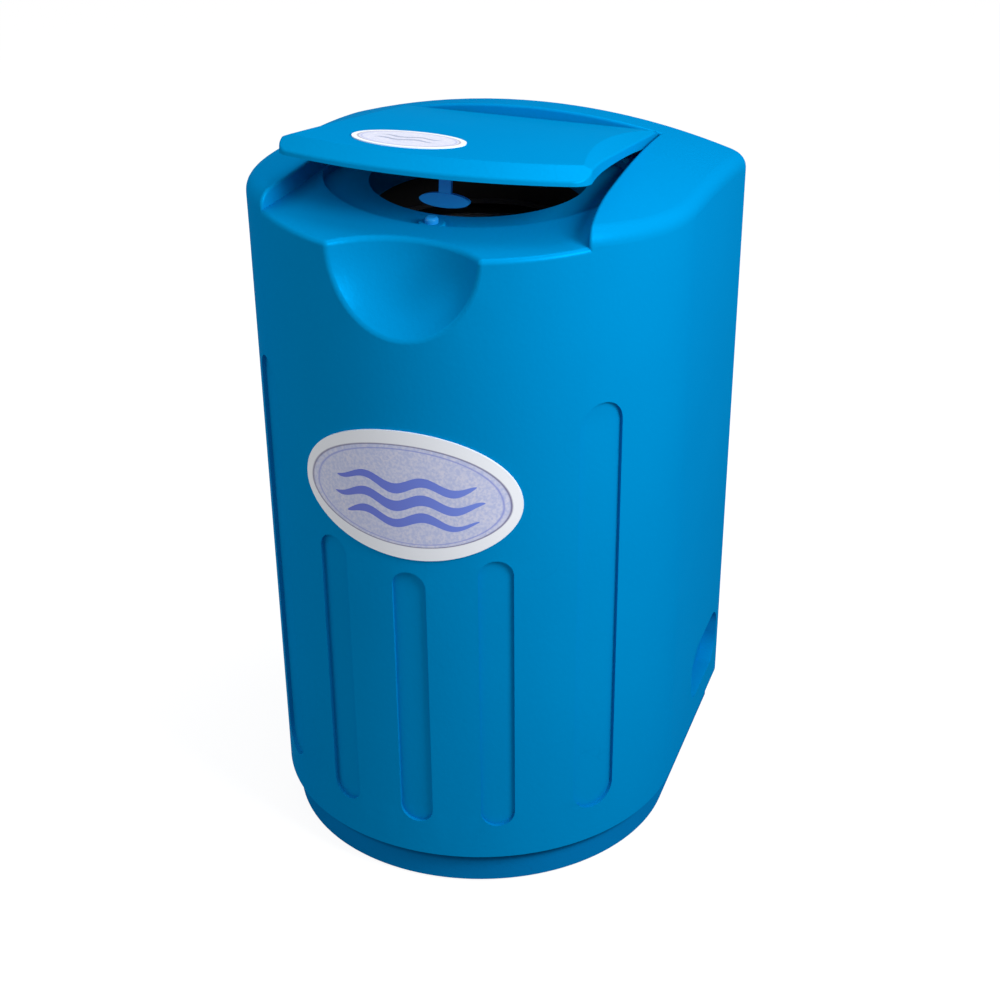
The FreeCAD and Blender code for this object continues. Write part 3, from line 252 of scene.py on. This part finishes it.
# ---- Motor, pulleys and belt -------------------------------------------------------------------------
# The stator stands in black varnish and the pulleys are turned aluminium. The belt is black rubber over
# cord, with a grey dust on it.
varnish = moulded("stator_varnish", linear(40, 41, 44), linear(58, 58, 60), gloss=0.28, peel=900.0,
                  specular=0.5)
finish(varnish, "motor_stator")
pulley_metal = turned("pulley_aluminium", linear(190, 192, 195), linear(156, 158, 162), polish=0.28)
finish(pulley_metal, "drum_pulley", "motor_pulley")
belt_rubber = moulded("belt_rubber", linear(26, 26, 27), linear(62, 61, 60), gloss=0.7, peel=1400.0)
finish(belt_rubber, "drive_belt")
can_grey = moulded("capacitor_can", linear(188, 190, 194), linear(174, 176, 180), gloss=0.3, peel=250.0)
finish(can_grey, "run_capacitor")

# ---- Brake -------------------------------------------------------------------------------------------
# A grey iron drum below the pulley, a plated bar that carries a brown friction pad, its coiled return
# spring, and the electromagnet that pulls it free.
iron = turned("turned_iron", linear(104, 104, 106), linear(80, 80, 82), polish=0.38)
finish(iron, "brake_drum")
finish(zinc, "brake_lever", "brake_spring")
friction = moulded("friction_lining", linear(92, 74, 58), linear(60, 50, 42), gloss=0.8, peel=1200.0,
                   depth=0.0004, drift=1.0)
finish(friction, "brake_pad")
coil_black = moulded("magnet_coil", linear(30, 31, 34), linear(46, 46, 48), gloss=0.4, peel=600.0)
finish(coil_black, "brake_magnet")

# ---- Drain -------------------------------------------------------------------------------------------
# Black rubber hose from the tub to a stiff black spout that passes through the back cover.
hose_rubber = moulded("hose_rubber", linear(24, 24, 25), linear(44, 43, 42), gloss=0.6, peel=900.0)
finish(hose_rubber, "drain_hose")
spout_black = moulded("spout_black", linear(24, 25, 27), linear(40, 41, 43), gloss=0.35, peel=500.0)
finish(spout_black, "drain_spout")

# ---- Casing ------------------------------------------------------------------------------------------
# One hollow moulding in polyethylene: the round front with its flutes and finger scoop, the domed top,
# the two cheeks and the deck. It has a satin gloss and the faint orange peel of its tool.
casing_blue = blue_polyethylene("casing_blue", linear(0, 137, 200), linear(0, 130, 193), 0.34, scuffs=0.4)
finish(casing_blue, "casing_shell")

# ---- Lid ---------------------------------------------------------------------------------------------
# A shallow shell in the casing's plastic, bevelled along its front and sides and stiffened below by a
# flat liner on four screws. It turns on two pins, and small black buffers keep it off the deck.
lid_blue = blue_polyethylene("lid_blue", linear(0, 140, 202), linear(0, 133, 195), 0.38)
finish(lid_blue, "lid_shell")
liner_blue = blue_polyethylene("liner_blue", linear(0, 126, 192), linear(0, 116, 182), 0.5)
finish(liner_blue, "lid_liner")
buffer_rubber = moulded("buffer_rubber", linear(26, 26, 27), linear(44, 43, 42), gloss=0.6, peel=900.0)
finish(buffer_rubber, "lid_buffers")

# ---- Latch tongue and safety plunger -----------------------------------------------------------------
# The tongue and the plunger are moulded in a lighter, harder blue plastic than the casing. The plunger
# stands up through a raised ring on the deck and works the switch under it.
latch_blue = moulded("latch_blue", linear(30, 150, 226), linear(20, 138, 214), gloss=0.26, specular=0.12)
finish(latch_blue, "latch_tongue", "interlock_plunger")
finish(casing_blue, "plunger_guide")
switch_black = moulded("switch_black", linear(24, 25, 27), linear(38, 38, 40), gloss=0.45, peel=600.0)
finish(switch_black, "interlock_switch")

# ---- Oval plates -------------------------------------------------------------------------------------
# Two printed films under clear varnish: a white edge, a thin dark line with a fainter one inside it,
# and a speckled lavender field that carries a plain motif of ripples in blue.
egg, given, result = group("egg_radius", [
    (label, "NodeSocketFloat") for label in ("Across", "Up", "Left", "Right", "Top", "Bottom")],
    [("Radius", "NodeSocketFloat")])
halves = []
for place, below, above in (("Across", "Left", "Right"), ("Up", "Bottom", "Top")):
    side = calc(egg, "GREATER_THAN", given[place], 0.0)
    spread = calc(egg, "SUBTRACT", given[above], given[below])
    reach = calc(egg, "MULTIPLY_ADD", side, spread, given[below])
    halves.append(calc(egg, "POWER", calc(egg, "ABSOLUTE", calc(egg, "DIVIDE", given[place], reach)), 2.0))
egg.links.new(calc(egg, "SQRT", calc(egg, "ADD", *halves)), result["Radius"])


def printed_oval(name, centre, up_axis, line, motif, ripples, ink, pale_ink, roughness=0.22):
    """A printed film. line and motif give an oval's left, right, top and bottom reach in metres;
    ripples gives the bands' spacing, half thickness, height and length, and how many there are.
    The ink runs from ink at the motif's left to pale_ink at its right."""
    made, tree, shader = material(name, linear(248, 249, 255), roughness, 0.5)
    shader.inputs["Coat Weight"].default_value = 0.5
    shader.inputs["Coat Roughness"].default_value = 0.08
    place = tree.nodes.new("ShaderNodeTexCoord")
    apart = add(tree, "ShaderNodeSeparateXYZ", [(0, place.outputs["Object"])])
    across = calc(tree, "SUBTRACT", apart.outputs["X"], centre[0])
    up = calc(tree, "SUBTRACT", apart.outputs[up_axis], centre[1])

    def radius(reach):
        oval = add(tree, "ShaderNodeGroup", [("Across", across), ("Up", up)], node_tree=egg)
        for label, value in zip(("Left", "Right", "Top", "Bottom"), reach):
            oval.inputs[label].default_value = value
        return oval.outputs["Radius"]

    inside = radius(line)
    line_width, inner_line = 0.0011 / line[2], 0.93
    off_line = calc(tree, "ABSOLUTE", calc(tree, "SUBTRACT", inside, 1.0))
    on_line = calc(tree, "SUBTRACT", 1.0, calc(tree, "DIVIDE", off_line, line_width), clamp=True)
    field = calc(tree, "LESS_THAN", inside, 1.0)

    spacing, thick, height, length, count = ripples
    swell = calc(tree, "SINE", calc(tree, "MULTIPLY", across, math.tau / length))
    wave = calc(tree, "MULTIPLY", swell, height)
    level = calc(tree, "SUBTRACT", up, wave)
    fade = calc(tree, "SUBTRACT", 1.0, calc(tree, "POWER", radius(motif), 2.0), clamp=True)
    width = calc(tree, "MULTIPLY", calc(tree, "SQRT", fade), thick)
    bands, band_sharpness = None, 2500.0
    for n in range(count):
        off = calc(tree, "ABSOLUTE", calc(tree, "SUBTRACT", level, (n - (count - 1) / 2) * spacing))
        band = calc(tree, "MULTIPLY", calc(tree, "SUBTRACT", width, off), band_sharpness, clamp=True)
        bands = band if bands is None else calc(tree, "MAXIMUM", bands, band)

    speck_level, speck_sharpness = 0.38, 4.0
    specks = add(tree, "ShaderNodeTexNoise", [("Vector", place.outputs["Object"])], Scale=330.0,
                 Detail=2.0)
    blotches = add(tree, "ShaderNodeTexNoise", [("Vector", place.outputs["Object"])], Scale=70.0,
                   Detail=2.0)
    speck = calc(tree, "MULTIPLY", calc(tree, "SUBTRACT", specks.outputs["Fac"], speck_level),
                 speck_sharpness, clamp=True)
    pale = tint(tree, blotches.outputs["Fac"], linear(196, 204, 238), linear(222, 220, 238))
    lavender = tint(tree, speck, linear(184, 193, 232), pale)
    white_edge = linear(243, 247, 255)
    ground = tint(tree, field, white_edge, lavender)
    across_motif = calc(tree, "MULTIPLY_ADD", across, 0.5 / motif[1], 0.5, clamp=True)
    inked = tint(tree, bands, ground, tint(tree, across_motif, ink, pale_ink))
    off_inner = calc(tree, "ABSOLUTE", calc(tree, "SUBTRACT", inside, inner_line))
    on_inner = calc(tree, "SUBTRACT", 1.0, calc(tree, "DIVIDE", off_inner, line_width), clamp=True)
    lined = tint(tree, calc(tree, "MULTIPLY", on_inner, field), inked, linear(138, 150, 220))
    tree.links.new(tint(tree, on_line, lined, linear(84, 80, 132)), shader.inputs["Base Color"])
    bump = add(tree, "ShaderNodeBump", [("Height", speck)], Strength=0.15, Distance=0.0001)
    tree.links.new(bump.outputs["Normal"], shader.inputs["Normal"])
    return made


front_print = printed_oval("front_print", centre=(0.0035, 0.461), up_axis="Z",
                           line=(0.1075, 0.0965, 0.062, 0.048), motif=(0.080, 0.074, 0.050, 0.040),
                           ripples=(0.0195, 0.0062, 0.0050, 0.060, 3),
                           ink=linear(52, 80, 208), pale_ink=linear(104, 132, 228))
finish(front_print, "front_badge")
low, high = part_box("lid_badge")
lid_print = printed_oval("lid_print", centre=((low[0] + high[0]) / 2, (low[1] + high[1]) / 2),
                         up_axis="Y", line=(0.050, 0.050, 0.032, 0.032),
                         motif=(0.034, 0.034, 0.020, 0.020),
                         ripples=(0.013, 0.0034, 0.0028, 0.034, 2),
                         ink=linear(70, 96, 160), pale_ink=linear(120, 140, 190))
finish(lid_print, "lid_badge")

# ---- Back cover and electrics ------------------------------------------------------------------------
# A flat black cover with vent slots closes the bay in the back. It carries the lead's gland and a bare
# foil plate; the terminal box is fixed behind it.
cover_black = moulded("cover_black", linear(28, 29, 31), linear(42, 43, 45), gloss=0.5, peel=1300.0,
                      depth=0.0002)
finish(cover_black, "service_cover", "terminal_box")
gland_black = moulded("gland_black", linear(22, 22, 24), linear(36, 36, 38), gloss=0.34, peel=500.0)
finish(gland_black, "power_inlet")
foil = turned("plain_foil", linear(204, 206, 208), linear(180, 182, 186), polish=0.3,
              lines=(8.0, 30.0, 2200.0))
finish(foil, "rating_plate")

# ---- Camera, floor and light -------------------------------------------------------------------------
# The camera stands to the right of the front and looks down, as the photograph's does. A strong soft
# lamp at the right, a weak one at the left and a third above light the object in a dim, even room.
# Floor and room are pale only to the eye: Light Path whitens them where they are seen, not as light.
pitch, swing, roll = math.radians(28.999), math.radians(18.271), math.radians(-0.504)
shift_right, shift_up, distance = -0.01845, -0.302713, 2.579764
arc_y = -0.0074125       # the middle of the front's arc, which the view was measured from
sensor, focal_per_width = 36.0, 2.27612
forward = Vector((-math.sin(swing) * math.cos(pitch), math.cos(swing) * math.cos(pitch), -math.sin(pitch)))
right = Vector((math.cos(swing), math.sin(swing), 0))
up = right.cross(forward)
c, s = math.cos(roll), math.sin(roll)
right, up = c * right + s * up, c * up - s * right
eye = -shift_right * right - shift_up * up - distance * forward + Vector((0, arc_y, 0))
lens = bpy.data.cameras.new("camera")
lens.sensor_width = sensor
lens.lens = focal_per_width * sensor
lens.clip_end = 30
camera = bpy.data.objects.new("camera", lens)
camera.matrix_world = Matrix.Translation(eye) @ Matrix((right, up, -forward)).transposed().to_4x4()
bpy.context.scene.collection.objects.link(camera)
bpy.context.scene.camera = camera


def is_seen(tree):
    """1 for a ray that shows a surface to the camera, straight, in gloss or through glass, else 0."""
    path = add(tree, "ShaderNodeLightPath").outputs
    straight_or_gloss = calc(tree, "MAXIMUM", path["Is Camera Ray"], path["Is Glossy Ray"])
    return calc(tree, "MAXIMUM", straight_or_gloss, path["Is Transmission Ray"])


bm = bmesh.new()
bmesh.ops.create_grid(bm, x_segments=1, y_segments=1, size=8)
floor_mesh = bpy.data.meshes.new("floor")
bm.to_mesh(floor_mesh)
bm.free()
floor = bpy.data.objects.new("floor", floor_mesh)
bpy.context.scene.collection.objects.link(floor)
floor_white, tree, floor_shader = material("floor_white", (0.2, 0.2, 0.2, 1), 0.9, 0.0)
lift = calc(tree, "MULTIPLY", is_seen(tree), 0.9)
floor_shader.inputs["Emission Color"].default_value = (1, 1, 1, 1)
tree.links.new(lift, floor_shader.inputs["Emission Strength"])
floor_mesh.materials.append(floor_white)


def lamp(name, place, aim, size, power):
    """A square soft lamp, its size in metres and its power in watts, turned towards aim."""
    light = bpy.data.lights.new(name, "AREA")
    light.size = size
    light.energy = power
    made = bpy.data.objects.new(name, light)
    made.location = place
    made.rotation_euler = (Vector(aim) - Vector(place)).to_track_quat("-Z", "Y").to_euler()
    bpy.context.scene.collection.objects.link(made)


lamp("key", (1.35, -0.65, 1.5), (0, 0, 0.5), size=0.7, power=29)
lamp("fill", (-1.4, -0.9, 1.3), (0, 0, 0.5), size=1.0, power=5)
lamp("top", (0.3, 0.5, 2.2), (0, 0, 0.7), size=0.8, power=9)
room = bpy.data.worlds.new("room")
bpy.context.scene.world = room
room.use_nodes = True
tree = room.node_tree
tree.nodes.clear()
soft = add(tree, "ShaderNodeBackground", Color=(1, 1, 1, 1), Strength=0.44)
white = add(tree, "ShaderNodeBackground", Color=(1, 1, 1, 1), Strength=1.0)
both = add(tree, "ShaderNodeMixShader", [(0, is_seen(tree)), (1, soft.outputs[0]),
                                         (2, white.outputs[0])])
add(tree, "ShaderNodeOutputWorld", [("Surface", both.outputs[0])])
bpy.context.scene.view_settings.view_transform = "Standard"
